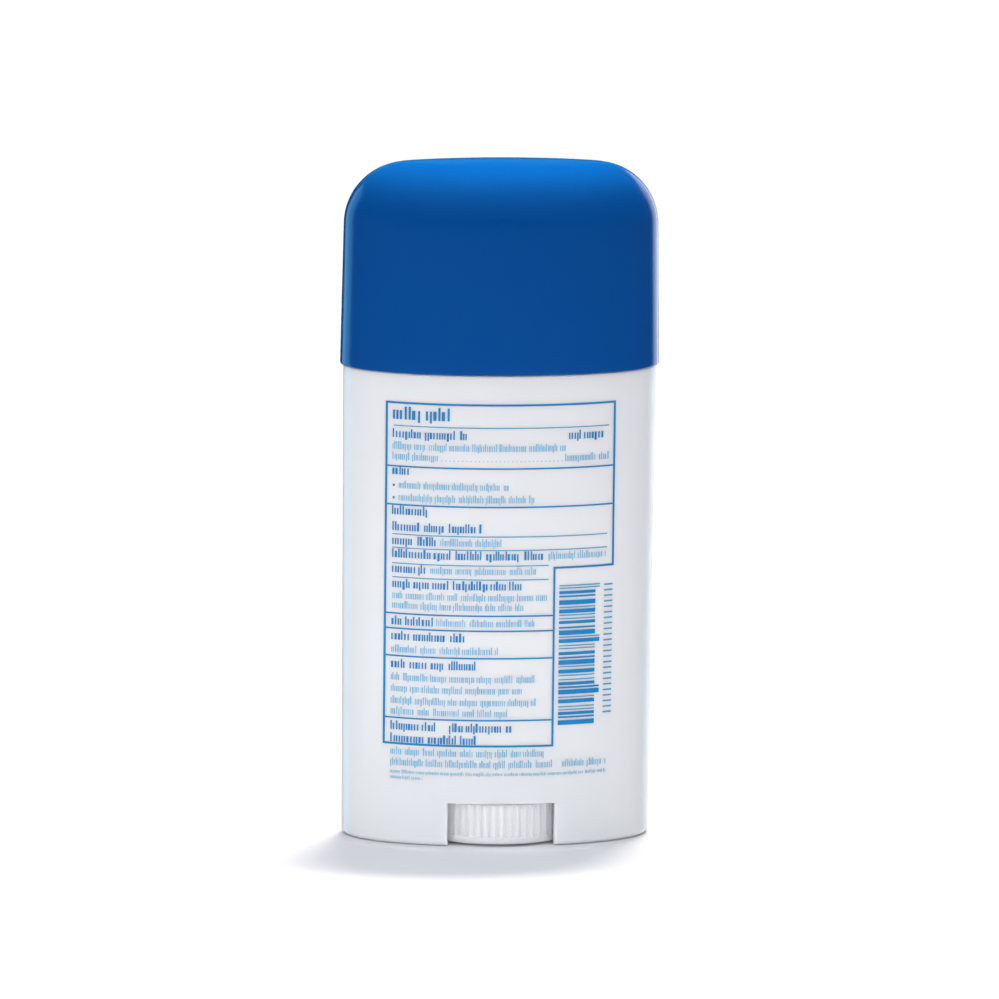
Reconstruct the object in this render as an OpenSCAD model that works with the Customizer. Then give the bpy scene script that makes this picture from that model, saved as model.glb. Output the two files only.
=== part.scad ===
// Twist-up deodorant stick with an oval barrel and a deep overcap.
// A ribbed thumbwheel under the barrel turns a coarse screw. The screw carries a
// platform up the oval bore, and the platform carries the solid stick.
// Sizes are in millimetres. The origin is on the table at the middle of the base,
// +Z is up, X runs along the long axis of the oval, and the window that the
// printed front shows faces -Y.

/* [Barrel] */
// Width of the barrel at its shoulder
barrel_w = 59.8; // [56:0.2:66]
// Depth of the barrel at its shoulder
barrel_d = 31.4; // [30:0.2:36]
// How much each side comes in between the shoulder and the foot
barrel_taper = 0.45; // [0.1:0.05:1]
// Height of the shoulder that the cap's edge stands over
shoulder_h = 91; // [84:1:110]
// Thickness of the barrel's wall at the shoulder
barrel_wall = 2.3; // [2:0.1:3]
// Rounding of the foot's outer edge
foot_round = 1.2; // [0.4:0.1:2]
// Thickness of the partition over the thumbwheel
partition_t = 1.6; // [1.2:0.1:3]
// Height of the boss round the spindle hole, above the partition
hole_boss_h = 1; // [0.4:0.1:3]
// Width of the boss's ring round the spindle hole
hole_boss_wall = 2.4; // [1.2:0.1:4]

/* [Neck] */
// Height of the neck above the shoulder
neck_h = 12; // [8:0.5:18]
// How far the neck is set in from the barrel's side
neck_step = 1.25; // [1:0.05:1.5]
// How far the cap's locating bead stands out of the neck
neck_bead = 0.25; // [0.1:0.05:0.4]
// Height of the bead above the shoulder
neck_bead_h = 4.5; // [3:0.5:7]
// Length of the bead's slope, up and down
neck_bead_len = 1; // [0.6:0.1:1.5]

/* [Underside] */
// Width of the two windows that show the thumbwheel
window_w = 20.4; // [16:0.2:24]
// Wall of the round chamber that the thumbwheel turns in
chamber_wall = 1.3; // [1:0.1:2]
// Wall left between that chamber and the barrel's outside, above the windows
lintel_wall = 1.2; // [0.8:0.1:2]
// Thickness of the ribs that tie the chamber to the skirt
tie_rib_t = 1.2; // [0.8:0.1:2]
// How far the inner ribs and the chamber's rim stay above the foot
inner_rim_up = 0.6; // [0.3:0.1:2]

/* [Thumbwheel] */
// Diameter over the ribs of the thumbwheel
wheel_d = 30.4; // [28:0.2:31]
// Height of the thumbwheel
wheel_h = 7.6; // [5:0.1:10]
// Gap between the thumbwheel and the table
wheel_up = 0.5; // [0.3:0.1:1.5]
// Number of grip ribs
rib_count = 62; // [40:1:72]
// Depth of the grooves between the ribs
groove_depth = 0.4; // [0.2:0.05:0.7]
// Radius of the grooves between the ribs
groove_r = 0.6; // [0.5:0.05:0.7]
// Height of the plain band below the ribs
plain_band_h = 1.3; // [0.8:0.1:3]
// Thickness of the thumbwheel's rim
wheel_rim_t = 1.6; // [1.2:0.1:2.4]
// Thickness of the thumbwheel's top web
wheel_web_t = 1.4; // [1:0.1:2.5]
// Number of spokes under the web
spoke_count = 6; // [3:1:10]
// Thickness of a spoke
spoke_t = 1; // [0.8:0.1:2]
// How far the spokes stay above the rim's lower face
spoke_up = 0.8; // [0.3:0.1:2]

/* [Screw drive] */
// Outer diameter of the screw
screw_d = 8; // [7:0.1:10]
// Depth of the thread
thread_depth = 1.2; // [0.8:0.1:1.5]
// Advance of the platform in one turn of the wheel
screw_lead = 4; // [3:0.5:6]
// Height of the screw's plain end above the last thread
screw_tip_h = 1.5; // [0.5:0.1:3]
// Travel of the platform
travel = 52; // [40:1:58]
// Diameter of the spindle's journal in the partition
journal_d = 8.8; // [8.6:0.1:11]
// How far the snap bead stands out of the journal
snap_bead = 0.5; // [0.3:0.05:0.8]
// Length of the snap bead
snap_bead_len = 1.6; // [1:0.1:3]
// Diameter of the thrust boss on top of the thumbwheel
thrust_d = 14; // [12:0.5:18]

/* [Platform] */
// Height of the platform's deck when it is wound right down
deck_h = 48; // [40:0.5:56]
// Thickness of the deck
deck_t = 1.4; // [1:0.1:2.5]
// Height of the skirt that guides the platform
skirt_h = 8; // [5:0.5:12]
// Thickness of that skirt
skirt_t = 1.1; // [0.8:0.1:2]
// How far the skirt is set in under the deck's wiping edge
wiper_step = 0.3; // [0.1:0.05:0.6]
// Thickness of the webs under the deck
web_t = 1; // [0.8:0.1:2]
// Distance between the webs that cross the platform
web_pitch = 8.5; // [7:0.5:10]
// Length of the threaded hub below the deck's top
hub_h = 12; // [9:0.5:16]
// Wall of the hub round the thread
hub_wall = 2; // [1.4:0.1:3]
// Height of the hub's collar above the deck
collar_h = 3; // [1.5:0.5:5]
// Length of the two fins that hold the stick
fin_len = 9; // [6:0.5:12]
// Height of the fins above the deck
fin_h = 6; // [4:0.5:9]
// Thickness of the fins
fin_t = 1.4; // [1:0.1:2]
// Diameter of the hole through each fin
fin_hole_d = 2.6; // [1.5:0.1:3]

/* [Stick] */
// How far the stick's straight side stands above the barrel's mouth
stick_up = 3; // [1:0.5:5]
// Rise of the stick's dome
dome_rise = 16; // [10:0.5:18]
// Space over the screw's end inside the stick
tip_space = 1.5; // [0.5:0.1:4]

/* [Cap] */
// Height of the cap
cap_h = 39.25; // [36:0.25:50]
// How far the cap's edge stands out past the barrel
cap_proud = 0.6; // [0.2:0.05:1]
// Draft of the cap's sides in degrees
cap_draft = 1; // [0.3:0.1:2]
// Radius of the roll from the cap's sides to its crown
cap_roll = 12; // [8:0.25:13]
// Rise of the crown inside the roll
cap_crown = 0.5; // [0.3:0.1:2]
// Thickness of the cap's wall and crown
cap_wall = 1.6; // [1.2:0.1:2.2]
// Number of stop ribs inside the cap
stop_rib_count = 8; // [4:2:12]
// How far the stop ribs stand out of the cap's wall
stop_rib_depth = 0.9; // [0.5:0.1:1.2]
// Thickness of the stop ribs
stop_rib_t = 0.9; // [0.6:0.1:1.5]
// Length of the stop ribs
stop_rib_len = 10; // [6:0.5:14]

/* [Clearances] */
// Gap between the cap's edge and the shoulder, and between the stop ribs and the mouth
seat_gap = 0.25; // [0.1:0.05:0.4]
// Gap between the neck's bead and the inside of the cap
bead_gap = 0.05; // [0.03:0.01:0.1]
// Gap round the spindle's journal
journal_gap = 0.08; // [0.03:0.01:0.1]
// Gap over and under the partition, where the thumbwheel is held
thrust_gap = 0.25; // [0.1:0.05:0.4]
// Gap between the thumbwheel's top and the top of the windows
window_gap = 0.3; // [0.3:0.1:1]
// Gap round the thumbwheel in its chamber
chamber_gap = 0.7; // [0.4:0.1:1]
// Gap between the platform's wiping edge and the bore
wiper_gap = 0.12; // [0.05:0.01:0.2]
// Gap between the stick and the bore
stick_gap = 0.3; // [0.2:0.05:0.5]
// Gap between the screw and everything that it turns in
thread_gap = 0.3; // [0.2:0.05:0.4]

/* [Hidden] */
$fn = 96;
// A cut runs this far past the face that it opens
past = 1;

// Half sizes of the barrel's outside and of its bore
out_a = barrel_w / 2;
out_b = barrel_d / 2;
bore_a = out_a - barrel_wall;
bore_b = out_b - barrel_wall;
neck_a = out_a - neck_step;
neck_b = out_b - neck_step;
mouth_h = shoulder_h + neck_h;

// Levels of the wheel, its chamber and the partition over it
wheel_r = wheel_d / 2;
wheel_top = wheel_up + wheel_h;
window_h = wheel_top + window_gap;
chamber_r = wheel_r + chamber_gap;
chamber_h = window_h + window_gap;
floor_h = chamber_h + partition_t;
boss_top = floor_h + hole_boss_h;
thrust_top = chamber_h - thrust_gap;
hole_r = journal_d / 2 + journal_gap;

// Levels of the screw: it starts over its snap bead and ends inside the hub at full travel
bead_low = boss_top + thrust_gap;
bead_top = bead_low + snap_bead_len;
screw_r = screw_d / 2;
core_r = screw_r - thread_depth;
// The plain shank under the thread is a little stouter than the thread
shank_r = screw_r + thread_gap / 2;
hub_low = deck_h - hub_h;
thread_low = hub_low - thread_gap;
screw_top = deck_h + travel - hub_h / 2 + collar_h / 2;
hub_bore_r = screw_r + thread_gap;
hub_r = hub_bore_r + hub_wall;

// Half sizes of the platform's wiping edge and of the stick
wiper_a = bore_a - wiper_gap;
wiper_b = bore_b - wiper_gap;
stick_a = bore_a - stick_gap;
stick_b = bore_b - stick_gap;
stick_side_top = mouth_h + stick_up;

// Half sizes of the cap's edge and of its socket over the neck, and the cap's levels
edge_a = out_a + cap_proud;
edge_b = out_b + cap_proud;
socket_a = neck_a + neck_bead + bead_gap;
socket_b = neck_b + neck_bead + bead_gap;
cap_low = shoulder_h + seat_gap;
cap_top = cap_low + cap_h;
roll_low = cap_top - cap_crown - cap_roll;
stop_h = mouth_h + seat_gap;
// Height of the sloped step from the socket to the hollow above it
socket_step_h = 0.4;

// Points round each oval, and rings from the side of a dome to its top
ring_points = 72;
dome_rings = 10;
// Turn between the rings that round the barrel's foot
foot_step = 22.5;
// Turn at which the last of those rings lies, short of the point at the top
last_ring_turn = 88;
// Points round the section of the screw's thread, and slices in each turn of it
thread_points = 16;
turn_slices = 12;
slice_h = screw_lead / turn_slices;
// Half angles of the thread's crest and of its foot in the section across the screw
crest_angle = 50;
foot_angle = 115;

// Points round an oval with half sizes a and b
function oval_points(a, b) =
    [for (i = [0 : ring_points - 1]) [a * cos(360 * i / ring_points), b * sin(360 * i / ring_points)]];

// An upright oval prism
module oval(a, b, h) linear_extrude(height = h) polygon(oval_points(a, b));

// A closed skin over a stack of rings, each a list of points that runs round the same way
module skin(rings) {
    count = len(rings);
    size = len(rings[0]);
    walls = [for (k = [0 : count - 2], i = [0 : size - 1])
        let (here = k * size, next = (i + 1) % size)
        each [[here + i, here + size + i, here + next],
              [here + next, here + size + i, here + size + next]]];
    bottom = [[for (i = [0 : size - 1]) i]];
    top = [[for (i = [size - 1 : -1 : 0]) (count - 1) * size + i]];
    polyhedron([for (ring = rings) each ring], concat(bottom, walls, top), convexity = 4);
}

// A skin over oval levels, each given as [half width, half depth, height]
module loft(levels)
    skin([for (level = levels) [for (p = oval_points(level[0], level[1])) [p[0], p[1], level[2]]]]);

// Half width or depth of the cap at a height over the start of its roll: an arc, then the crown
function roll_half(side, roll, up) =
    let (flat = side - roll,
         join_turn = 90 - atan(2 * cap_crown / flat),
         join_up = roll * sin(join_turn),
         crown_half = flat + roll * cos(join_turn),
         left = (roll + cap_crown - up) / (roll + cap_crown - join_up))
    up < join_up ? flat + sqrt(roll * roll - up * up) : crown_half * sqrt(left);

// Rings of the cap's form from a low level to its crown. The hollow is the same form, drawn in
// everywhere by one wall.
function cap_rings(inset, low) =
    let (draft_in = function (h) (h - cap_low) * tan(cap_draft),
         side_a = edge_a - draft_in(roll_low) - inset,
         side_b = edge_b - draft_in(roll_low) - inset,
         roll = cap_roll - inset)
    concat(
        [[edge_a - draft_in(low) - inset, edge_b - draft_in(low) - inset, low]],
        [for (k = [0 : dome_rings])
            let (turn = last_ring_turn * k / dome_rings,
                 up = (roll + cap_crown) * sin(turn))
            [roll_half(side_a, roll, up), roll_half(side_b, roll, up), roll_low + up]]);

// Ribs inside the cap that come to rest over the barrel's mouth
module stop_ribs() {
    rib_a = socket_a - stop_rib_depth;
    rib_b = socket_b - stop_rib_depth;
    for (k = [0 : stop_rib_count - 1]) {
        turn = 360 * (k + 0.5) / stop_rib_count;
        square_to_wall = atan2(rib_a * sin(turn), rib_b * cos(turn));
        translate([rib_a * cos(turn), rib_b * sin(turn), stop_h])
            rotate(square_to_wall)
                translate([0, -stop_rib_t / 2, 0])
                    cube([stop_rib_depth + cap_wall / 2, stop_rib_t, stop_rib_len]);
    }
}

module cap() color("royalblue") {
    difference() {
        loft(cap_rings(0, cap_low));
        loft(concat(
            [[socket_a, socket_b, cap_low - past], [socket_a, socket_b, stop_h]],
            cap_rings(cap_wall, stop_h + socket_step_h)));
    }
    stop_ribs();
}

// Solid outer form of the barrel up to its shoulder, with a rounded foot
module barrel_body() {
    foot_a = out_a - barrel_taper - foot_round;
    foot_b = out_b - barrel_taper - foot_round;
    rounding = [for (turn = [-90 : foot_step : 0])
        [foot_a + foot_round * cos(turn), foot_b + foot_round * cos(turn), foot_round * (1 + sin(turn))]];
    loft(concat(rounding, [[out_a, out_b, shoulder_h]]));
}

// Neck with the bead that centres the cap
module neck() {
    bead_mid = shoulder_h + neck_bead_h;
    translate([0, 0, shoulder_h - past]) oval(neck_a, neck_b, neck_h + past);
    loft([
        [neck_a - neck_bead, neck_b - neck_bead, bead_mid - neck_bead_len],
        [neck_a + neck_bead, neck_b + neck_bead, bead_mid],
        [neck_a - neck_bead, neck_b - neck_bead, bead_mid + neck_bead_len]]);
}

// Everything that is hollow under the partition, apart from the wheel's chamber
module skirt_hollow() {
    difference() {
        translate([0, 0, -past])
            oval(bore_a - barrel_taper, bore_b - barrel_taper, chamber_h + past);
        translate([0, 0, inner_rim_up]) cylinder(h = chamber_h, r = chamber_r + chamber_wall);
        translate([-out_a, -tie_rib_t / 2, inner_rim_up]) cube([2 * out_a, tie_rib_t, chamber_h]);
    }
}

// Round chamber of the thumbwheel, kept inside the barrel's side above the windows
module wheel_chamber() {
    set_in = lintel_wall + barrel_taper;
    intersection() {
        translate([0, 0, -past]) cylinder(h = chamber_h + past, r = chamber_r);
        translate([0, 0, -2 * past]) oval(out_a - set_in, out_b - set_in, chamber_h + 3 * past);
    }
}

module barrel() color("gainsboro") {
    difference() {
        union() {
            barrel_body();
            neck();
        }
        difference() {
            translate([0, 0, floor_h]) oval(bore_a, bore_b, mouth_h - floor_h + past);
            cylinder(h = boss_top, r = hole_r + hole_boss_wall);
        }
        skirt_hollow();
        wheel_chamber();
        translate([-window_w / 2, -out_b - past, -past])
            cube([window_w, 2 * (out_b + past), window_h + past]);
        translate([0, 0, chamber_h - past]) cylinder(h = boss_top - chamber_h + 2 * past, r = hole_r);
    }
}

// Radius of the thread's section at an angle, with its crest widened and raised by grow
function thread_radius(angle, grow) =
    let (widen = grow / screw_lead * 360,
         fall = (abs(angle - 180) - crest_angle - widen) / (foot_angle - crest_angle))
    core_r + grow + thread_depth * (1 - min(1, max(0, fall)));

// A right-handed thread from a low level to at least a high one, grown by a clearance for the hub
module thread(low, high, grow) {
    skin([for (k = [floor(low / slice_h) : ceil(high / slice_h)])
        [for (i = [0 : thread_points - 1])
            let (angle = 360 * i / thread_points,
                 turned = angle + 360 * k / turn_slices,
                 r = thread_radius(angle, grow))
            [r * cos(turned), r * sin(turned), k * slice_h]]]);
}

// Outline of the thumbwheel's ribs
module grip_outline() {
    difference() {
        circle(r = wheel_r);
        for (k = [0 : rib_count - 1])
            rotate(360 * k / rib_count)
                translate([wheel_r - groove_depth + groove_r, 0]) circle(r = groove_r, $fn = 24);
    }
}

// Hollow under the thumbwheel, between its rim, its spokes and its spindle's root
module wheel_hollow() {
    difference() {
        translate([0, 0, wheel_up - past])
            cylinder(h = wheel_h - wheel_web_t + past, r = wheel_r - groove_depth - wheel_rim_t);
        cylinder(h = wheel_top, r = journal_d / 2);
        for (k = [0 : spoke_count - 1])
            rotate(360 * (k + 0.5) / spoke_count)
                translate([0, -spoke_t / 2, wheel_up + spoke_up]) cube([wheel_r, spoke_t, wheel_h]);
    }
}

module thumbwheel() color("whitesmoke") {
    difference() {
        union() {
            translate([0, 0, wheel_up]) cylinder(h = plain_band_h, r = wheel_r);
            translate([0, 0, wheel_up + plain_band_h])
                linear_extrude(height = wheel_h - plain_band_h) grip_outline();
        }
        wheel_hollow();
    }
    translate([0, 0, wheel_top - wheel_web_t / 2])
        cylinder(h = thrust_top - wheel_top + wheel_web_t / 2, r = thrust_d / 2);
    translate([0, 0, wheel_top]) cylinder(h = bead_low - wheel_top, r = journal_d / 2);
    translate([0, 0, bead_low])
        cylinder(h = snap_bead_len / 2, r1 = journal_d / 2 + snap_bead / 2, r2 = journal_d / 2 + snap_bead);
    translate([0, 0, bead_low + snap_bead_len / 2])
        cylinder(h = snap_bead_len / 2, r1 = journal_d / 2 + snap_bead, r2 = shank_r);
    translate([0, 0, bead_top]) cylinder(h = thread_low - bead_top, r = shank_r);
    thread(thread_low - past, screw_top, 0);
    translate([0, 0, screw_top - past]) cylinder(h = screw_tip_h + past, r1 = core_r, r2 = core_r / 2);
}

// Webs under the deck: one along the platform and pairs across it
module platform_webs() {
    pair_count = floor((wiper_a - skirt_t) / web_pitch - 0.5);
    translate([-wiper_a, -web_t / 2, deck_h - skirt_h]) cube([2 * wiper_a, web_t, skirt_h]);
    for (side = [-1, 1], k = [1 : pair_count])
        translate([side * k * web_pitch - web_t / 2, -wiper_b, deck_h - skirt_h])
            cube([web_t, 2 * wiper_b, skirt_h]);
}

// Fins and collar that the stick is cast round
module platform_anchors() {
    translate([0, 0, deck_h - deck_t]) cylinder(h = collar_h + deck_t, r = hub_r);
    for (side = [0, 180])
        rotate(side)
            difference() {
                translate([hub_bore_r + hub_wall / 2, -fin_t / 2, deck_h - deck_t])
                    cube([hub_wall / 2 + fin_len, fin_t, fin_h + deck_t]);
                translate([hub_r + fin_len / 2, fin_t, deck_h + fin_h / 2])
                    rotate([90, 0, 0]) cylinder(h = 2 * fin_t, r = fin_hole_d / 2);
            }
}

module platform() color("ghostwhite") {
    skirt_a = wiper_a - wiper_step;
    skirt_b = wiper_b - wiper_step;
    difference() {
        union() {
            translate([0, 0, deck_h - deck_t]) oval(wiper_a, wiper_b, deck_t);
            difference() {
                translate([0, 0, deck_h - skirt_h]) oval(skirt_a, skirt_b, skirt_h);
                translate([0, 0, deck_h - skirt_h - past])
                    oval(skirt_a - skirt_t, skirt_b - skirt_t, skirt_h - deck_t + past);
            }
            intersection() {
                platform_webs();
                translate([0, 0, hub_low]) oval(skirt_a, skirt_b, hub_h);
            }
            translate([0, 0, hub_low]) cylinder(h = hub_h, r = hub_r);
            platform_anchors();
        }
        thread(hub_low - past, deck_h + collar_h + past, thread_gap);
    }
}

module product_stick() color("ivory") {
    difference() {
        loft(concat(
            [[stick_a, stick_b, deck_h]],
            [for (k = [0 : dome_rings])
                let (turn = last_ring_turn * k / dome_rings)
                [stick_a * cos(turn), stick_b * cos(turn), stick_side_top + dome_rise * sin(turn)]]));
        platform_anchors();
        translate([0, 0, deck_h - past])
            cylinder(h = screw_top + screw_tip_h + tip_space - deck_h + past, r = hub_bore_r);
    }
}

cap();
barrel();
thumbwheel();
platform();
product_stick();
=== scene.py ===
"""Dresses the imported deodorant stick: its mouldings, the solid stick, the print on its front,
soft studio light and the camera. Forms are worked out in millimetres and built in metres."""

import math
import random

import bmesh
import bpy
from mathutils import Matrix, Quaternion, Vector


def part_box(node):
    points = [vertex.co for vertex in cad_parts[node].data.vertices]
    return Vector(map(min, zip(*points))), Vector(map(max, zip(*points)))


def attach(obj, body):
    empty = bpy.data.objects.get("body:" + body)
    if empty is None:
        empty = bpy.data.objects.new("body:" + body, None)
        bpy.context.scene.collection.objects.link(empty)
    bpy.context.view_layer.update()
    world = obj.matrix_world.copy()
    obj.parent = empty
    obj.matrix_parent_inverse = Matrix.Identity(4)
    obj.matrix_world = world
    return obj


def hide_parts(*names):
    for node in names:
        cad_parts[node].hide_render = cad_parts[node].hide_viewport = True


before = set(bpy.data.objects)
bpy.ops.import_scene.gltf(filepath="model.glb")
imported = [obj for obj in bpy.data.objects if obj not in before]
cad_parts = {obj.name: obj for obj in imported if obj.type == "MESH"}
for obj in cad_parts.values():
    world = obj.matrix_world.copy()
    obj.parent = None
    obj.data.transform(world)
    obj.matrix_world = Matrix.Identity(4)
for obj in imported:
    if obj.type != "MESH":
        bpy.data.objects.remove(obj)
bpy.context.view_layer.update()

MM = 0.001
OVAL_POINTS = 240


def cad_size(node):
    """The lowest and highest corner of a CAD node, in millimetres."""
    return [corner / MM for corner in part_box(node)]


# Camera

def place_camera():
    """A long lens a little to the left of the front and above it, as the photograph was taken."""
    distance, rise, yaw, roll = 1.940, math.radians(9.5), math.radians(5.1), math.radians(0.63)
    picture_px, px_per_mm, sensor_mm = 999, 5.23, 36
    aim_height, right_px, down_px = 66, 1.4, 6.5
    aim = Vector((0, 0, aim_height)) * MM
    back = Vector((-math.sin(yaw) * math.cos(rise), -math.cos(yaw) * math.cos(rise), math.sin(rise)))
    turn = back.to_track_quat("Z", "Y")
    right, up = turn @ Vector((1, 0, 0)), turn @ Vector((0, 1, 0))
    # The lens looks a little to the right of the pack's middle and below it
    aim += (right * right_px - up * down_px) * MM / px_per_mm
    lens = bpy.data.cameras.new("studio_camera")
    lens.sensor_width = sensor_mm
    lens.lens = px_per_mm * distance / MM / picture_px * sensor_mm
    lens.clip_start, lens.clip_end = 0.05, 50
    camera = bpy.data.objects.new("studio_camera", lens)
    camera.rotation_mode = "QUATERNION"
    camera.rotation_quaternion = turn @ Quaternion((0, 0, 1), roll)
    camera.location = aim + back * distance
    bpy.context.scene.collection.objects.link(camera)
    bpy.context.scene.camera = camera


# Shader sums

class Wire:
    """An output of a node. The usual signs add the Math nodes that work out a value."""

    def __init__(self, maker, socket):
        self.maker, self.socket = maker, socket

    def sum(self, operation, first, second):
        return self.maker.add("Math", {"operation": operation}, {0: first, 1: second})

    def __add__(self, other):
        return self.sum("ADD", self, other)

    def __mul__(self, other):
        return self.sum("MULTIPLY", self, other)

    __radd__ = __add__
    __rmul__ = __mul__


class Finish:
    """A node tree that is being wired up, as a material's or the world's."""

    def __init__(self, owner):
        owner.use_nodes = True
        self.tree = owner.node_tree
        self.tree.nodes.clear()

    def add(self, kind, settings=None, inputs=None, out=0):
        """Adds a node: its settings first, then the values or wires of its sockets."""
        node = self.tree.nodes.new("ShaderNode" + kind)
        for name, value in (settings or {}).items():
            setattr(node, name, value)
        for name, value in (inputs or {}).items():
            if isinstance(value, Wire):
                self.tree.links.new(value.socket, node.inputs[name])
            else:
                node.inputs[name].default_value = value
        return Wire(self, node.outputs[out]) if node.outputs else node

    def place_mm(self):
        """The place on the piece, in millimetres."""
        place = self.add("TexCoord", out="Object")
        return self.add("VectorMath", {"operation": "SCALE"}, {0: place, "Scale": 1 / MM})

    def stretched(self, place, along):
        """The place scaled on each axis. A number under 1 draws marks out along its axis."""
        return self.add("VectorMath", {"operation": "MULTIPLY"}, {0: place, 1: along})

    def cloud(self, place, size_mm, detail=3):
        """Soft noise from 0 to 1, whose blotches are about size_mm across."""
        return self.add("TexNoise", {}, {"Vector": place, "Scale": 1 / size_mm, "Detail": detail})

    def step(self, value, low, high):
        """0 under low, 1 over high, and a smooth rise between."""
        return self.add("MapRange", {"interpolation_type": "SMOOTHSTEP"},
                        {"Value": value, "From Min": low, "From Max": high})

    def mix(self, first, second, mask):
        """From the first colour to the second as mask goes from 0 to 1."""
        return self.add("Mix", {"data_type": "RGBA"}, {0: mask, 6: first, 7: second}, out=2)

    def bump(self, height, depth_mm, normal=None):
        """Relief: height from 0 to 1 stands depth_mm out of the surface, or of the normal given."""
        inputs = {"Height": height, "Distance": depth_mm * MM}
        if normal:
            inputs["Normal"] = normal
        return self.add("Bump", {}, inputs)


def colour(red, green, blue):
    """An opaque colour from its linear parts."""
    return (red, green, blue, 1)


def plastic(name, base, shade, roughness, specular, peel_mm, edge_mm=0.0, grime=0.0, wear=1.0,
            milky=0.0, bleed_mm=2.4):
    """A moulded plastic: faint clouds and specks in its colour, a rippled skin, softened edges,
    and handling marks and fine scratches in its gloss by the share wear. In a milky one light
    travels about bleed_mm under the skin."""
    material = bpy.data.materials.new(name)
    make = Finish(material)
    place = make.place_mm()
    clouds = make.cloud(place, 14)
    flow = make.cloud(make.stretched(place, (0.5, 0.5, 0.09)), 1.6, 4)
    tint = make.mix(base, shade, clouds * 0.5 + flow * 0.3)
    if grime:
        specks = make.step(make.cloud(place, 0.55, 5), 0.66, 0.78)
        tint = make.mix(tint, shade, specks * grime)
    handling = make.step(make.cloud(place, 9, 5), 0.42, 0.68)
    scratches = make.step(make.cloud(make.stretched(place, (6, 6, 0.35)), 0.8, 2), 0.62, 0.72)
    gloss = (handling * 0.06 + scratches * 0.05 + flow * 0.04) * wear + roughness
    ripple = make.cloud(place, 1.5, 2) * 0.7 + make.cloud(place, 0.28, 2) * 0.3
    soft_edge = make.add("Bevel", {"samples": 6}, {"Radius": edge_mm * MM}) if edge_mm else None
    surface = make.add("BsdfPrincipled", {}, {
        "Base Color": tint, "Roughness": gloss, "Specular IOR Level": specular,
        "Normal": make.bump(ripple, peel_mm, soft_edge), "Subsurface Weight": milky,
        "Subsurface Radius": (1, 1, 1), "Subsurface Scale": bleed_mm * MM})
    make.add("OutputMaterial", {}, {"Surface": surface})
    return material


def wax(name):
    """The solid stick: opaque, soft and a little cloudy, with small pits sunk in its skin and painted
    darker as shade, and faint drag lines.
    """
    material = bpy.data.materials.new(name)
    make = Finish(material)
    place = make.place_mm()
    clouds = make.cloud(place, 6, 4)
    drag = make.cloud(make.stretched(place, (3, 3, 0.12)), 1.2, 3)
    pore_pits_and_shade = make.step(make.add("TexVoronoi", {}, {"Vector": place, "Scale": 1.4}), 0.08, 0.2)
    tint = make.mix(colour(0.75, 0.745, 0.71), colour(0.67, 0.667, 0.63), clouds * 0.6 + drag * 0.3)
    # Painted shade: the small pits are darkened in colour here, as well as sunk by the bump below
    tint = make.mix(colour(0.56, 0.55, 0.51), tint, pore_pits_and_shade * 0.35 + 0.65)
    height = clouds * 0.5 + drag * 0.3 + pore_pits_and_shade * 0.2
    surface = make.add("BsdfPrincipled", {}, {
        "Base Color": tint, "Roughness": clouds * 0.16 + 0.40, "Specular IOR Level": 0.4,
        "Normal": make.bump(height, 0.05), "Subsurface Weight": 0.25,
        "Subsurface Radius": (1.0, 0.95, 0.85), "Subsurface Scale": 1.2 * MM})
    make.add("OutputMaterial", {}, {"Surface": surface})
    return material


def ink(name, full, thin):
    """Printed ink: a little uneven where the plate laid it thinner."""
    material = bpy.data.materials.new(name)
    make = Finish(material)
    place = make.place_mm()
    wear = make.cloud(place, 0.35, 3) * 0.5 + make.cloud(place, 4, 2) * 0.5
    surface = make.add("BsdfPrincipled", {}, {
        "Base Color": make.mix(full, thin, make.step(wear, 0.4, 0.75)),
        "Roughness": wear * 0.1 + 0.42, "Specular IOR Level": 0.3,
        "Normal": make.bump(wear, 0.004)})
    make.add("OutputMaterial", {}, {"Surface": surface})
    return material


# Forms

def oval_ring(half_w, half_d, height, points=OVAL_POINTS):
    """Points round an upright oval, anticlockwise seen from above. A ring of no size is one point."""
    if half_w < 1e-6:
        return [(0, 0, height)]
    turns = (2 * math.pi * i / points for i in range(points))
    return [(half_w * math.cos(t), half_d * math.sin(t), height) for t in turns]


def skin(form, rings, loop=False):
    """Faces between each ring and the next. An end that isn't one point is closed flat."""
    rows = [[form.verts.new(Vector(point) * MM) for point in ring] for ring in rings]
    for low, high in zip(rows, rows[1:] + rows[:1] if loop else rows[1:]):
        for i in range(max(len(low), len(high))):
            corners = (low[i % len(low)], low[(i + 1) % len(low)],
                       high[(i + 1) % len(high)], high[i % len(high)])
            form.faces.new(list(dict.fromkeys(corners)))
    if not loop:
        for end in (rows[0][::-1], rows[-1]):
            if len(end) > 2:
                form.faces.new(end)


def made_of(*parts, loop=False):
    """A form of one or more skins, each a list of rings."""
    form = bmesh.new()
    for rings in parts:
        skin(form, rings, loop)
    return form


def block(low, high, turn=0, at=(0, 0, 0)):
    """Rings of a plain block, turned about the upright axis and moved."""
    cos, sin = math.cos(turn), math.sin(turn)
    corners = ((low[0], low[1]), (high[0], low[1]), (high[0], high[1]), (low[0], high[1]))
    return [[(at[0] + x * cos - y * sin, at[1] + x * sin + y * cos, at[2] + z) for x, y in corners]
            for z in (low[2], high[2])]


def smooth(shape):
    """Smooth shading, broken at edges that turn by more than 35 degrees."""
    shape.shade_smooth()
    shape.set_sharp_from_angle(angle=math.radians(35))


def solid(name, form):
    """An object from a form, smooth but for its real edges."""
    bmesh.ops.recalc_face_normals(form, faces=form.faces)
    shape = bpy.data.meshes.new(name)
    form.to_mesh(shape)
    form.free()
    smooth(shape)
    made = bpy.data.objects.new(name, shape)
    bpy.context.scene.collection.objects.link(made)
    return made


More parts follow.
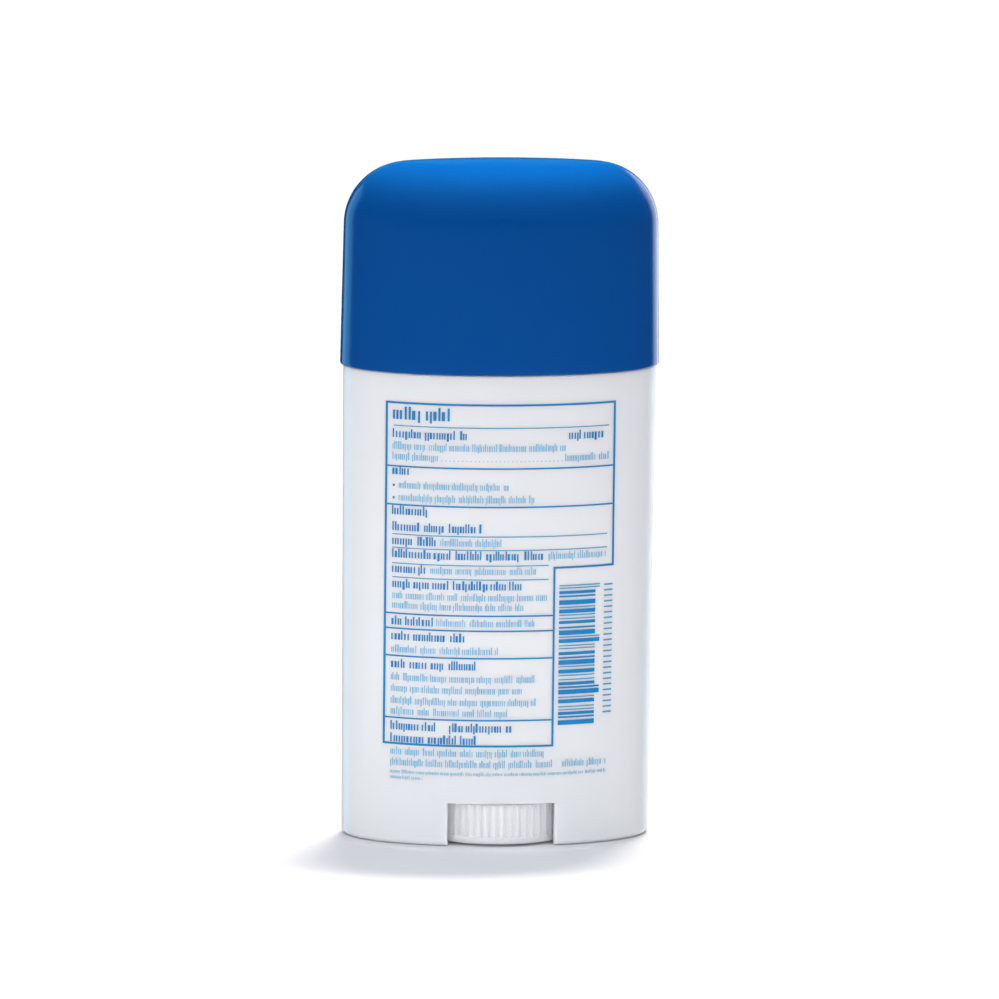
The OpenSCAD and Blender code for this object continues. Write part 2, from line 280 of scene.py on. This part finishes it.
def carve(target, *cutters, operation="DIFFERENCE"):
    """Takes the cutters out of the target, or keeps what they share with it, and uses them up."""
    for cutter in cutters:
        cut = target.modifiers.new("cut", "BOOLEAN")
        cut.operation, cut.solver, cut.object = operation, "EXACT", cutter
    bpy.context.view_layer.update()
    whole = target.evaluated_get(bpy.context.evaluated_depsgraph_get())
    shape = bpy.data.meshes.new_from_object(whole)
    target.modifiers.clear()
    target.data = shape
    smooth(shape)
    for cutter in cutters:
        bpy.data.objects.remove(cutter)


def finished(made, body, slot, material, *stands_for):
    """Gives a piece its finish, and sets it on its body."""
    made.data.materials.clear()
    made.data.materials.append(material)
    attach(made, body)
    if stands_for:
        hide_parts(*stands_for)


def rounded(half_w, half_d, height, radius, start, end, steps=6):
    """Levels of a rounded edge. The arc's middle lies radius in from the side at that height."""
    levels = []
    for k in range(steps + 1):
        turn = math.radians(start + (end - start) * k / steps)
        out = radius * math.cos(turn) - radius
        levels.append((half_w + out, half_d + out, height + radius * math.sin(turn)))
    return levels


def rings_of(levels, points=OVAL_POINTS):
    """Upright ovals from levels of half width, half depth and height."""
    return [oval_ring(*level, points) for level in levels]


# Cap

CAP_WALL, CAP_ROLL, CAP_CROWN, CAP_DRAFT = 1.6, 12, 0.5, math.tan(math.radians(1))
SOCKET_A, SOCKET_B, CAP_STOP = 28.95, 14.75, 103.25


def cap_half(side, roll, up):
    """Half width or depth of the cap at a height over its roll: an arc, then a low crown."""
    flat = side - roll
    join = math.pi / 2 - math.atan(2 * CAP_CROWN / flat)
    join_up = roll * math.sin(join)
    if up < join_up:
        return flat + math.sqrt(roll * roll - up * up)
    left = (roll + CAP_CROWN - up) / (roll + CAP_CROWN - join_up)
    return (flat + roll * math.cos(join)) * math.sqrt(max(0, left))


def cap_top_levels(edge_a, edge_b, low, roll_low, inset):
    """Levels over the roll and crown, closer and closer up to the point at the top."""
    drawn_in = (roll_low - low) * CAP_DRAFT + inset
    roll = CAP_ROLL - inset
    rise = roll + CAP_CROWN
    ups = [rise * math.sin(math.radians(3 * k)) for k in range(28)]
    last = rise - ups[-1]
    ups += [rise - last * (k / 8) ** 2 for k in range(7, 0, -1)]
    levels = [(cap_half(edge_a - drawn_in, roll, up), cap_half(edge_b - drawn_in, roll, up),
               roll_low + up) for up in ups]
    return levels + [(0, 0, roll_low + rise)]


def build_stop_ribs(material):
    """The ribs inside the cap that come to rest on the barrel's mouth."""
    depth, thick, length, count = 0.9, 0.9, 10, 8
    # How far the rib's face is drawn in at each height
    steps = ((0.12, 0), (0, 0.3), (0, length - 0.9), (0.5, length))
    mid_a, mid_b = SOCKET_A - depth, SOCKET_B - depth
    ribs = []
    for k in range(count):
        turn = 2 * math.pi * (k + 0.5) / count
        face = math.atan2(mid_a * math.sin(turn), mid_b * math.cos(turn))
        at = (mid_a * math.cos(turn), mid_b * math.sin(turn), CAP_STOP)
        rings = []
        for draw, z in steps:
            half = thick / 2 - draw / 3
            rings.append(block((draw, -half, z), (depth + CAP_WALL / 2, half, z), face, at)[0])
        ribs.append(rings)
    finished(solid("cap_stop_ribs", made_of(*ribs)), "cap", "cap_blue", material)


def build_cap(material):
    """The overcap: a drafted shell with a socket for the neck, and its stop ribs."""
    low_corner, high_corner = cad_size("cap")
    # The lip reaches this far into the CAD's gap over the shoulder, which is barely seen
    lip_down = 0.12
    edge_a, edge_b, low, top = high_corner.x, high_corner.y, low_corner.z - lip_down, high_corner.z
    roll_low = top - CAP_CROWN - CAP_ROLL
    lip, bore_lip, bore_soft = 0.35, 0.3, 0.08

    def wall_level(z, inset=0):
        draw = (z - low) * CAP_DRAFT + inset
        return (edge_a - draw, edge_b - draw, z)

    outer = rounded(edge_a, edge_b, low + lip, lip, -90, 0)
    outer += [wall_level(z) for z in (low + 2, low + 6, low + 12, low + 18, low + 24, roll_low - 0.5)]
    outer += cap_top_levels(edge_a, edge_b, low, roll_low, 0)
    inner = [(SOCKET_A + bore_lip, SOCKET_B + bore_lip, low),
             (SOCKET_A + bore_soft, SOCKET_B + bore_soft, low + 0.12),
             (SOCKET_A, SOCKET_B, low + bore_lip), (SOCKET_A, SOCKET_B, low + 6),
             (SOCKET_A, SOCKET_B, CAP_STOP)]
    inner += [wall_level(CAP_STOP + up, CAP_WALL) for up in (0.4, 4, 9, 14)]
    inner += cap_top_levels(edge_a, edge_b, low, roll_low, CAP_WALL)
    shell = solid("cap_shell", made_of(rings_of(inner[::-1] + outer)))
    finished(shell, "cap", "cap_blue", material, "cap")
    build_stop_ribs(material)


# Barrel

TAPER, FOOT_ROUND, SHOULDER = 0.45, 1.2, 91
BARREL_WALL, NECK_STEP, FLOOR_TOP, BOSS_TOP = 2.3, 1.25, 10.3, 11.3
WINDOW_HALF, WINDOW_TOP, CHAMBER_R, CHAMBER_TOP = 10.2, 8.4, 15.9, 8.7
JOURNAL_R, HOLE_R = 4.4, 4.48


def wall_half(out, height):
    """Half width or depth of the barrel's side at a height."""
    return out - TAPER * (SHOULDER - height) / (SHOULDER - FOOT_ROUND)


def window_cutter(side, out_a, out_b):
    """The opening that shows the thumbwheel, with jambs that round into the barrel's side."""
    soft, middle, inward, outward, steps = 0.75, 4, 6, 3, 7
    face = -wall_half(out_b, middle) * math.sqrt(1 - (WINDOW_HALF / wall_half(out_a, middle)) ** 2)
    jamb = [(WINDOW_HALF, face + inward)]
    for k in range(steps + 1):
        turn = math.radians(80 * k / steps)
        jamb.append((WINDOW_HALF + soft - soft * math.cos(turn), face + soft - soft * math.sin(turn)))
    jamb.append((WINDOW_HALF + soft, face - outward))
    outline = jamb + [(-x, y) for x, y in reversed(jamb)]
    rings = [[(x * side, y * side, z) for x, y in outline] for z in (-1, WINDOW_TOP)]
    return solid("window_cutter", made_of(rings))


def barrel_outside(out_a, out_b, mouth):
    """The outer form: rounded foot, tapered sides, shoulder, and the neck with its snap bead."""
    neck_a, neck_b = out_a - NECK_STEP, out_b - NECK_STEP
    bead, bead_mid, edge, fillet, mouth_round = 0.25, SHOULDER + 4.5, 0.3, 0.3, 0.4
    levels = rounded(out_a - TAPER, out_b - TAPER, FOOT_ROUND, FOOT_ROUND, -90, 0, 10)
    levels += [(wall_half(out_a, z), wall_half(out_b, z), z)
               for z in (3, 5.5, 8, 9, 12, 20, 30, 40, 50, 60, 70, 80, 88)]
    levels += rounded(out_a, out_b, SHOULDER - edge, edge, 0, 90)
    levels += [(neck_a + fillet, neck_b + fillet, SHOULDER),
               (neck_a + 0.08, neck_b + 0.08, SHOULDER + 0.1),
               (neck_a, neck_b, SHOULDER + fillet), (neck_a, neck_b, bead_mid - 1)]
    for k in range(-4, 5):
        swell = bead * math.cos(math.pi / 2 * k / 5)
        levels.append((neck_a + swell, neck_b + swell, bead_mid + k / 5))
    levels += [(neck_a, neck_b, bead_mid + 1)]
    levels += rounded(neck_a, neck_b, mouth - mouth_round, mouth_round, 0, 90)
    return solid("barrel_shell", made_of(rings_of(levels)))


def bore_cutter(bore_a, bore_b, mouth):
    """The chamber of the stick, less the boss round the spindle's hole."""
    bore = solid("bore_cutter", made_of(rings_of([
        (bore_a, bore_b, FLOOR_TOP), (bore_a, bore_b, 40), (bore_a, bore_b, mouth - 0.35),
        (bore_a + 0.12, bore_b + 0.12, mouth - 0.12), (bore_a + 0.4, bore_b + 0.4, mouth + 0.05),
        (bore_a + 0.4, bore_b + 0.4, mouth + 1)])))
    boss_r, edge = HOLE_R + 2.4, 0.2
    boss = [(boss_r, boss_r, FLOOR_TOP - 2), (boss_r, boss_r, BOSS_TOP - edge),
            (boss_r - edge, boss_r - edge, BOSS_TOP)]
    carve(bore, solid("boss", made_of(rings_of(boss, 96))))
    return bore


def under_cutter(out_a, bore_a, bore_b):
    """The hollow under the partition, less the wheel's guard wall and the tie ribs."""
    hollow_a, hollow_b = bore_a - TAPER, bore_b - TAPER
    hollow = [(hollow_a, hollow_b, -1), (hollow_a, hollow_b, CHAMBER_TOP)]
    under = solid("under_cutter", made_of(rings_of(hollow)))
    guard_r, guard_low, tie_half = CHAMBER_R + 1.3, 0.6, 0.6
    guard = [(guard_r, guard_r, guard_low), (guard_r, guard_r, CHAMBER_TOP + 1)]
    tie = block((-out_a - 2, -tie_half, guard_low), (out_a + 2, tie_half, CHAMBER_TOP + 1))
    carve(under, solid("guard", made_of(rings_of(guard, 160))), solid("tie", made_of(tie)))
    return under


def chamber_cutter(out_a, out_b):
    """The round chamber of the thumbwheel, which stops short of the lintel over the windows."""
    lintel = 1.2 + TAPER
    chamber = [(CHAMBER_R, CHAMBER_R, -1), (CHAMBER_R, CHAMBER_R, CHAMBER_TOP)]
    within = [(out_a - lintel, out_b - lintel, -2), (out_a - lintel, out_b - lintel, CHAMBER_TOP + 2)]
    cutter = solid("chamber_cutter", made_of(rings_of(chamber, 200)))
    carve(cutter, solid("lintel", made_of(rings_of(within))), operation="INTERSECT")
    return cutter


def build_barrel(material):
    """The case: its outer form, with the bore, the base and both windows taken out."""
    high_corner = cad_size("barrel")[1]
    out_a, out_b, mouth = high_corner.x, high_corner.y, high_corner.z
    bore_a, bore_b, hole_edge = out_a - BARREL_WALL, out_b - BARREL_WALL, 0.3
    shell = barrel_outside(out_a, out_b, mouth)
    cutters = [bore_cutter(bore_a, bore_b, mouth), under_cutter(out_a, bore_a, bore_b),
               chamber_cutter(out_a, out_b)]
    hole = [(HOLE_R, HOLE_R, CHAMBER_TOP - 1), (HOLE_R, HOLE_R, BOSS_TOP - hole_edge),
            (HOLE_R + hole_edge, HOLE_R + hole_edge, BOSS_TOP),
            (HOLE_R + hole_edge, HOLE_R + hole_edge, BOSS_TOP + 1)]
    hole_cutter = solid("hole_cutter", made_of(rings_of(hole, 96)))
    cutters += [window_cutter(side, out_a, out_b) for side in (1, -1)]
    carve(shell, *cutters, hole_cutter)
    finished(shell, "barrel", "barrel_white", material, "barrel")


# Thumbwheel

WHEEL_R, WHEEL_LOW, WHEEL_TOP, RIBS, GROOVE, WHEEL_RIM = 15.2, 0.5, 8.1, 62, 0.4, 1.6
WHEEL_POINTS = RIBS * 14
SHANK_R, CORE_R, THREAD, LEAD, THREAD_LOW, SCREW_TOP = 4.15, 2.8, 1.2, 4, 35.7, 95.5


def grip_ring(radius, height, grooved):
    """A ring round the thumbwheel, with its grip grooves cut in by the share given."""
    points = []
    for i in range(WHEEL_POINTS):
        turn = 2 * math.pi * i / WHEEL_POINTS
        groove = (0.5 + 0.5 * math.cos(turn * RIBS)) ** 0.8
        r = radius - GROOVE * grooved * groove
        points.append((r * math.cos(turn), r * math.sin(turn), height))
    return points


def build_thumbwheel(material):
    """The ribbed wheel with its plain band, thrust collar, spindle and spoked hollow."""
    band, thrust_r, thrust_top = 1.8, 7, 8.45
    bead_low, bead_mid, bead_top = 11.55, 12.35, 13.15
    rings = [grip_ring(WHEEL_R - 0.25, WHEEL_LOW, 0), grip_ring(WHEEL_R - 0.07, WHEEL_LOW + 0.07, 0),
             grip_ring(WHEEL_R, WHEEL_LOW + 0.25, 0), grip_ring(WHEEL_R, band - 0.05, 0),
             grip_ring(WHEEL_R, band + 0.12, 1), grip_ring(WHEEL_R, 5, 1),
             grip_ring(WHEEL_R, WHEEL_TOP - 0.3, 1), grip_ring(WHEEL_R - 0.09, WHEEL_TOP - 0.09, 0.9),
             grip_ring(WHEEL_R - 0.3, WHEEL_TOP, 0.8)]
    spindle = [(thrust_r, WHEEL_TOP), (thrust_r, thrust_top - 0.15), (thrust_r - 0.15, thrust_top),
               (JOURNAL_R, thrust_top), (JOURNAL_R, bead_low), (JOURNAL_R + 0.25, bead_low),
               (JOURNAL_R + 0.5, bead_mid), (SHANK_R, bead_top), (SHANK_R, 20), (SHANK_R, 28),
               (SHANK_R, THREAD_LOW)]
    rings += [oval_ring(r, r, z, WHEEL_POINTS) for r, z in spindle]
    wheel = solid("thumbwheel_moulding", made_of(rings))
    rim, web_low, soft = WHEEL_R - GROOVE - WHEEL_RIM, 6.7, 0.4
    section = [(JOURNAL_R, -1), (rim, -1), (rim, web_low - soft), (rim - soft, web_low),
               (JOURNAL_R + soft, web_low), (JOURNAL_R, web_low - soft)]
    hollow = solid("wheel_hollow", made_of([oval_ring(r, r, z, 180) for r, z in section], loop=True))
    spoke_low, spoke_top, spoke_half, spokes = WHEEL_LOW + 0.8, WHEEL_TOP - 0.1, 0.5, 6
    spoke = ((2, -spoke_half, spoke_low), (WHEEL_R, spoke_half, spoke_top))
    turns = [math.radians(360 / spokes * (k + 0.5)) for k in range(spokes)]
    carve(hollow, *(solid("spoke", made_of(block(*spoke, turn))) for turn in turns))
    carve(wheel, hollow)
    finished(wheel, "wheel", "wheel_white", material, "thumbwheel")


def build_screw(material):
    """The screw above the wheel's plain shank: one thread, wound up to a pointed tip."""
    points, slices, end_r, end_slope, end_up = 32, 32, 1.4, 1.1, 1.5
    crest_half, flank = 50, 65
    rings = []
    first, last = (THREAD_LOW - 1) / LEAD * slices, (SCREW_TOP + end_up) / LEAD * slices
    for k in range(round(first), round(last) + 1):
        height = k * LEAD / slices
        tip_r = max(end_r, end_r + (SCREW_TOP + end_up - height) * end_slope)
        ring = []
        for i in range(points):
            angle = 360 * i / points
            fall = (abs(angle - 180) - crest_half) / flank
            r = min(tip_r, CORE_R + THREAD * (1 - min(1, max(0, fall))))
            turned = math.radians(angle + 360 * k / slices)
            ring.append((r * math.cos(turned), r * math.sin(turned), height))
        rings.append(ring)
    finished(solid("thumbwheel_screw", made_of(rings)), "wheel", "wheel_white", material)


# Stick

def build_stick(material):
    """The solid stick with its dome, hollowed for the screw, the hub and the platform's fins."""
    low_corner, high_corner = cad_size("product_stick")
    half_a, half_b, low = high_corner.x, high_corner.y, low_corner.z
    side_top, rise, slices = 106, 16, 36
    levels = [(half_a, half_b, z) for z in (low, low + 15, low + 30, low + 45)]
    for k in range(slices):
        turn = math.pi / 2 * k / slices
        levels.append((half_a * math.cos(turn), half_b * math.cos(turn), side_top + rise * math.sin(turn)))
    levels.append((0, 0, side_top + rise))
    stick = solid("stick_block", made_of(rings_of(levels)))
    core_r, core_top, collar_r, collar_up = 4.3, 98.5, 6.3, 3
    core = [(core_r, core_r, low - 1), (core_r, core_r, core_top)]
    collar = [(collar_r, collar_r, low - 1), (collar_r, collar_r, low + collar_up)]
    fin = ((5.3, -0.7, low - 1), (15.3, 0.7, low + 6))
    carve(stick, solid("core_cutter", made_of(rings_of(core, 96))),
          solid("collar_cutter", made_of(rings_of(collar, 94))),
          *(solid("fin_cutter", made_of(block(*fin, turn))) for turn in (0, math.pi)))
    finished(stick, "carrier", "stick_wax", material, "product_stick")


# Print

INK_SUNK, INK_PROUD, INK_STEP = -0.02, 0.015, 0.8


def on_wall(x, z, proud, out_a, out_b):
    """A point over the barrel's front wall, standing proud of it."""
    a, b = wall_half(out_a, z), wall_half(out_b, z)
    y = -b * math.sqrt(1 - (x / a) ** 2)
    away = Vector((x / a ** 2, y / b ** 2, 0)).normalized()
    return Vector((x, y, z)) + away * proud


class Plate:
    """A printing plate: it lays flat shapes of ink round the barrel's front."""

    def __init__(self, name, material, out_a, out_b):
        self.name, self.material, self.size = name, material, (out_a, out_b)
        self.form = bmesh.new()

    def bar(self, x0, x1, z0, z1):
        """A bar of ink from x0 to x1 and z0 to z1, bent to the wall and closed all round."""
        count = max(1, math.ceil((x1 - x0) / INK_STEP))
        rows = []
        for z, proud in ((z0, INK_SUNK), (z1, INK_SUNK), (z1, INK_PROUD), (z0, INK_PROUD)):
            places = [on_wall(x0 + (x1 - x0) * i / count, z, proud, *self.size) for i in range(count + 1)]
            rows.append([self.form.verts.new(place * MM) for place in places])
        for here, there in zip(rows, rows[1:] + rows[:1]):
            for i in range(count):
                self.form.faces.new((here[i], here[i + 1], there[i + 1], there[i]))
        self.form.faces.new([row[0] for row in rows])
        self.form.faces.new([row[-1] for row in rows][::-1])

    def words(self, z, x0, x1, height, stroke, rng):
        """A line of short upright strokes that stands for a line of words."""
        ascender, descender, space = 0.42, 0.3, 0.45
        x = x0
        while x < x1 - height * 0.3:
            end = min(x1, x + height * rng.uniform(1.6, 6.0))
            while x < end - stroke:
                width = stroke * rng.choice((1, 1, 1, 1, 1.5))
                reach = rng.random()
                top = ascender if reach < 0.22 else 0
                drop = descender if reach > 0.92 else 0
                self.bar(x, min(x + width, end), z - height * (0.5 + drop), z + height * (0.5 + top))
                x += width + stroke * rng.choice((0.6, 0.85, 1.2))
            x = end + height * space

    def done(self):
        """Makes the plate's ink a piece that rides on the barrel."""
        made = solid(self.name, self.form)
        made.data.materials.append(self.material)
        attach(made, "barrel")


# Each line: its height, then its runs as from, to and kind.
# H is the heading, B is bold, L is light and T is tiny.
WORD_LINES = (
    (83.1, (-21.2, -10.1, "H")), (79.3, (-21.2, -7.4, "B"), (12.1, 18.9, "B")),
    (77.0, (-21.2, 11.7, "L")), (75.0, (-21.2, -12.6, "L"), (11.4, 20.0, "L")),
    (72.2, (-21.2, -17.8, "B")), (69.5, (-20.0, 0.7, "L")), (67.1, (-20.0, 5.7, "L")),
    (64.5, (-21.2, -14.0, "B")), (61.4, (-21.1, -4.4, "B")),
    (58.7, (-21.1, -12.9, "B"), (-12.2, -0.2, "L")), (56.2, (-21.1, 7.7, "B"), (8.4, 19.9, "L")),
    (53.3, (-21.1, -14.6, "B"), (-14.0, 6.2, "L")), (50.4, (-21.0, 3.4, "B")),
    (48.2, (-21.0, 8.4, "L")), (46.3, (-21.0, 3.8, "L")),
    (43.2, (-21.1, -13.4, "B"), (-12.8, 6.0, "L")), (40.3, (-21.1, -7.2, "B")),
    (37.8, (-21.1, -1.1, "L")), (34.9, (-21.1, -5.2, "B")), (32.4, (-21.1, 6.1, "L")),
    (30.2, (-21.1, 4.4, "L")), (27.9, (-21.1, 6.3, "L")), (25.8, (-21.1, 0.9, "L")),
    (22.9, (-21.1, -12.4, "B"), (-10.2, 1.8, "B")), (20.5, (-21.1, -4.9, "B")),
    (18.0, (-21.1, 8.0, "L")), (15.9, (-21.1, 9.8, "L"), (11.5, 20.4, "L")),
    (14.1, (-21.1, 20.3, "T")), (13.0, (-21.1, -15.0, "T")))
# Height of the plain letters and width of the strokes of each kind
WORD_FORMS = {"H": (1.75, 0.4), "B": (1.22, 0.27), "L": (1.04, 0.18), "T": (0.5, 0.12)}
# The box round the lines, whose lower right part steps in to leave room for the stripes
BOX_LEFT, BOX_RIGHT, BOX_INNER, BOX_TOP, BOX_STEP, BOX_BOTTOM = -22.3, 21.1, 9.6, 85.4, 54.0, 19.6
# Rules across the box, each as height, from and to
THICK_RULES = ((73.2, BOX_LEFT, BOX_RIGHT), (65.8, BOX_LEFT, BOX_RIGHT), (44.8, BOX_LEFT, BOX_INNER),
               (41.9, BOX_LEFT, BOX_INNER), (36.6, BOX_LEFT, BOX_INNER), (24.6, BOX_LEFT, BOX_INNER))
THIN_RULES = ((81.0, -21.0, 20.0), (60.1, -21.1, 19.9), (57.5, -21.1, 19.9), (54.5, -21.1, 8.5),
              (51.8, -21.0, 8.5))


def print_box(heavy, fine):
    """The ruled box. Its bars end a hair short of each other, so that no two share an edge."""
    line, thick, thin = 0.2, 0.15, 0.1
    clear = line + 0.01
    heavy.bar(BOX_LEFT - line, BOX_RIGHT + line, BOX_TOP - line, BOX_TOP + line)
    heavy.bar(BOX_LEFT - line, BOX_INNER + line, BOX_BOTTOM - line, BOX_BOTTOM + line)
    heavy.bar(BOX_INNER - line, BOX_RIGHT + line, BOX_STEP - line, BOX_STEP + line)
    for x, low, high in ((BOX_LEFT, BOX_BOTTOM, BOX_TOP), (BOX_RIGHT, BOX_STEP, BOX_TOP),
                         (BOX_INNER, BOX_BOTTOM, BOX_STEP)):
        heavy.bar(x - line, x + line, low + clear, high - clear)
    for z, x0, x1 in THICK_RULES:
        heavy.bar(x0 + clear, x1 - clear, z - thick, z + thick)
    for z, x0, x1 in THIN_RULES:
        fine.bar(x0, x1, z - thin, z + thin)


def print_stripes(heavy, fine):
    """A block of plain stripes, some a little longer, and a row of ticks beside it."""
    top, bottom, left, short, long = 50.6, 23.4, 10.6, 17.7, 18.6
    widths, gaps = (0.24, 0.24, 0.6, 0.34, 0.9, 0.24, 0.75), (0.26, 0.42, 0.3, 0.55, 0.36, 0.28)
    z, k = top, 0
    while z > bottom:
        width = widths[k % len(widths)]
        plate = fine if width < 0.3 else heavy
        plate.bar(left, long if k % 12 < 2 else short, z - width, z)
        z -= width + gaps[k % len(gaps)]
        k += 1
    tick_top, tick_gap, tick_left, tick_right, tick_width = 50.1, 1.075, 19.4, 21.1, 0.3
    for k in range(24):
        low = tick_top - k * tick_gap
        fine.bar(tick_left, tick_right, low, low + tick_width)


def build_print(strong, mid, pale):
    """Rows of strokes, a dotted line, bullets, the ruled box and the stripes, on three plates."""
    high_corner = cad_size("barrel")[1]
    size = (high_corner.x, high_corner.y)
    rng = random.Random(7)
    headings = Plate("print_headings", strong, *size)
    lines = Plate("print_lines", pale, *size)
    rules = Plate("print_rules", mid, *size)
    plate_of = {"H": headings, "B": headings, "L": lines, "T": lines}
    for height, *runs in WORD_LINES:
        for x0, x1, kind in runs:
            plate_of[kind].words(height, x0, x1, *WORD_FORMS[kind], rng)
    dots_from, dot_gap, dot, dots_low = -12.2, 0.79, 0.2, 74.5
    for k in range(30):
        x = dots_from + k * dot_gap
        lines.bar(x, x + dot, dots_low, dots_low + dot)
    bullet_x, bullet_half = -20.9, 0.2
    for height in (69.5, 67.1):
        low, high = height - bullet_half, height + bullet_half
        headings.bar(bullet_x - bullet_half, bullet_x + bullet_half, low, high)
    print_box(headings, rules)
    print_stripes(headings, rules)
    for plate in (headings, lines, rules):
        plate.done()


# Studio

def softbox(name, at, aim, size, watts, tint=(1, 1, 1), rim=False, spread=180):
    """A soft panel light. A rim card is seen in glossy skins alone, and any other in none."""
    lamp = bpy.data.lights.new(name, "AREA")
    lamp.shape, lamp.size, lamp.size_y = "RECTANGLE", size[0], size[1]
    lamp.spread = math.radians(spread)
    lamp.energy, lamp.color = watts, tint
    light = bpy.data.objects.new(name, lamp)
    light.location = at
    light.rotation_mode = "QUATERNION"
    light.rotation_quaternion = (Vector(at) - Vector(aim)).to_track_quat("Z", "Y")
    light.visible_camera = False
    light.visible_glossy, light.visible_diffuse = rim, not rim
    bpy.context.scene.collection.objects.link(light)
    return light


def build_floor():
    """A wide round floor, a hair under the foot."""
    radius, drop = 9000, 0.02
    form = bmesh.new()
    form.faces.new([form.verts.new(Vector(point) * MM) for point in oval_ring(radius, radius, -drop, 96)])
    floor = solid("studio_floor", form)
    material = bpy.data.materials.new("pale_floor")
    make = Finish(material)
    grain = make.cloud(make.place_mm(), 30, 3)
    surface = make.add("BsdfPrincipled", {}, {
        "Base Color": make.mix(colour(0.735, 0.733, 0.738), colour(0.755, 0.753, 0.758), grain),
        "Roughness": grain * 0.1 + 0.8, "Specular IOR Level": 0.0})
    make.add("OutputMaterial", {}, {"Surface": surface})
    floor.data.materials.append(material)
    floor.visible_glossy = False


def build_surround():
    """Light from all round, dim at the horizon and bright overhead."""
    world = bpy.data.worlds.new("studio_surround")
    bpy.context.scene.world = world
    make = Finish(world)
    rise = make.add("SeparateXYZ", {}, {"Vector": make.add("TexCoord", out="Generated")}, out="Z")
    make.add("OutputWorld", {}, {"Surface": make.add("Background", {}, {
        "Color": make.mix(colour(0.15, 0.155, 0.168), colour(0.88, 0.895, 0.97), rise * rise),
        "Strength": 1.5})})
    world.cycles_visibility.glossy = False


def build_lights():
    """The flashes and fills, the beam on the cap's top, and the cards that rim the cap."""
    # Two overhead flashes side by side act as one wide one, whose shadow has soft ends
    for name, lean in (("overhead_flash_left", 0.05), ("overhead_flash_right", 0.115)):
        lamp = bpy.data.lights.new(name, "SUN")
        lamp.energy, lamp.angle, lamp.color = 1.06, math.radians(5), (1, 0.94, 0.9)
        flash = bpy.data.objects.new(name, lamp)
        flash.rotation_mode = "QUATERNION"
        flash.rotation_quaternion = Vector((lean, 0.24, 1)).to_track_quat("Z", "Y")
        flash.visible_glossy = False
        bpy.context.scene.collection.objects.link(flash)

    middle = (0, 0, 0.07)
    softbox("left_fill", (-1.8, -0.35, 0.25), middle, (1.2, 0.4), 4.4)
    softbox("right_fill", (1.8, 0.0, 0.25), middle, (1.2, 0.4), 2.2)
    softbox("low_front_fill", (-0.03, -0.17, 0.016), (-0.005, 0, 0.016), (0.3, 0.024), 0.24,
            (0.99, 0.98, 1))
    # A narrow beam straight down, which lands on the cap's top alone, however high the cap is
    beam = softbox("cap_top_beam", (0, 0, 0.36), (0, 0, 0.13), (0.054, 0.026), 0.0085, (0.9, 1, 0.84),
                   spread=3)
    beam.data.shape = "ELLIPSE"
    softbox("left_rim_card", (-0.50, 0.41, 0.02), middle, (0.38, 0.9), 4.2, (0.22, 0.70, 1.0), rim=True)
    softbox("back_rim_card", (0, 0.9, 0.45), middle, (0.8, 0.4), 0.5, (0.1, 0.75, 1.0), rim=True)
    softbox("right_rim_card", (0.45, 0.50, 0.02), middle, (0.42, 0.9), 4.2, (0.80, 0.88, 1.0), rim=True)


def plain_view():
    """Colours as they are, with no film look."""
    view = bpy.context.scene.view_settings
    view.view_transform, view.look, view.exposure, view.gamma = "Standard", "None", 0, 1


place_camera()
build_cap(plastic("blue_cap_gloss", colour(0.0011, 0.0535, 0.224), colour(0.001, 0.05, 0.21),
                  roughness=0.18, specular=0.12, peel_mm=0.002, wear=0.2))
build_barrel(plastic("white_barrel_satin", colour(0.622, 0.638, 0.645), colour(0.602, 0.618, 0.627),
                     roughness=0.34, specular=0.2, peel_mm=0.006, edge_mm=0.18, wear=0.5, milky=0.8))
wheel_white = plastic("white_wheel_satin", colour(0.87, 0.88, 0.91), colour(0.85, 0.86, 0.89),
                      roughness=0.4, specular=0.1, peel_mm=0.008, grime=0.1, milky=1.0, bleed_mm=8)
build_thumbwheel(wheel_white)
build_screw(wheel_white)
build_stick(wax("white_wax"))
build_print(ink("ink_strong", colour(0.001, 0.165, 0.40), colour(0.004, 0.20, 0.45)),
            ink("ink_mid", colour(0.05, 0.25, 0.43), colour(0.08, 0.31, 0.49)),
            ink("ink_pale", colour(0.16, 0.39, 0.57), colour(0.22, 0.45, 0.63)))
carrier_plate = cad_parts["platform"]
carrier_plate.data.materials.clear()
carrier_plate.data.materials.append(plastic(
    "white_platform_raw", colour(0.70, 0.71, 0.72), colour(0.64, 0.65, 0.66),
    roughness=0.5, specular=0.4, peel_mm=0.01, edge_mm=0.15, grime=0.3))
build_floor()
build_surround()
build_lights()
plain_view()
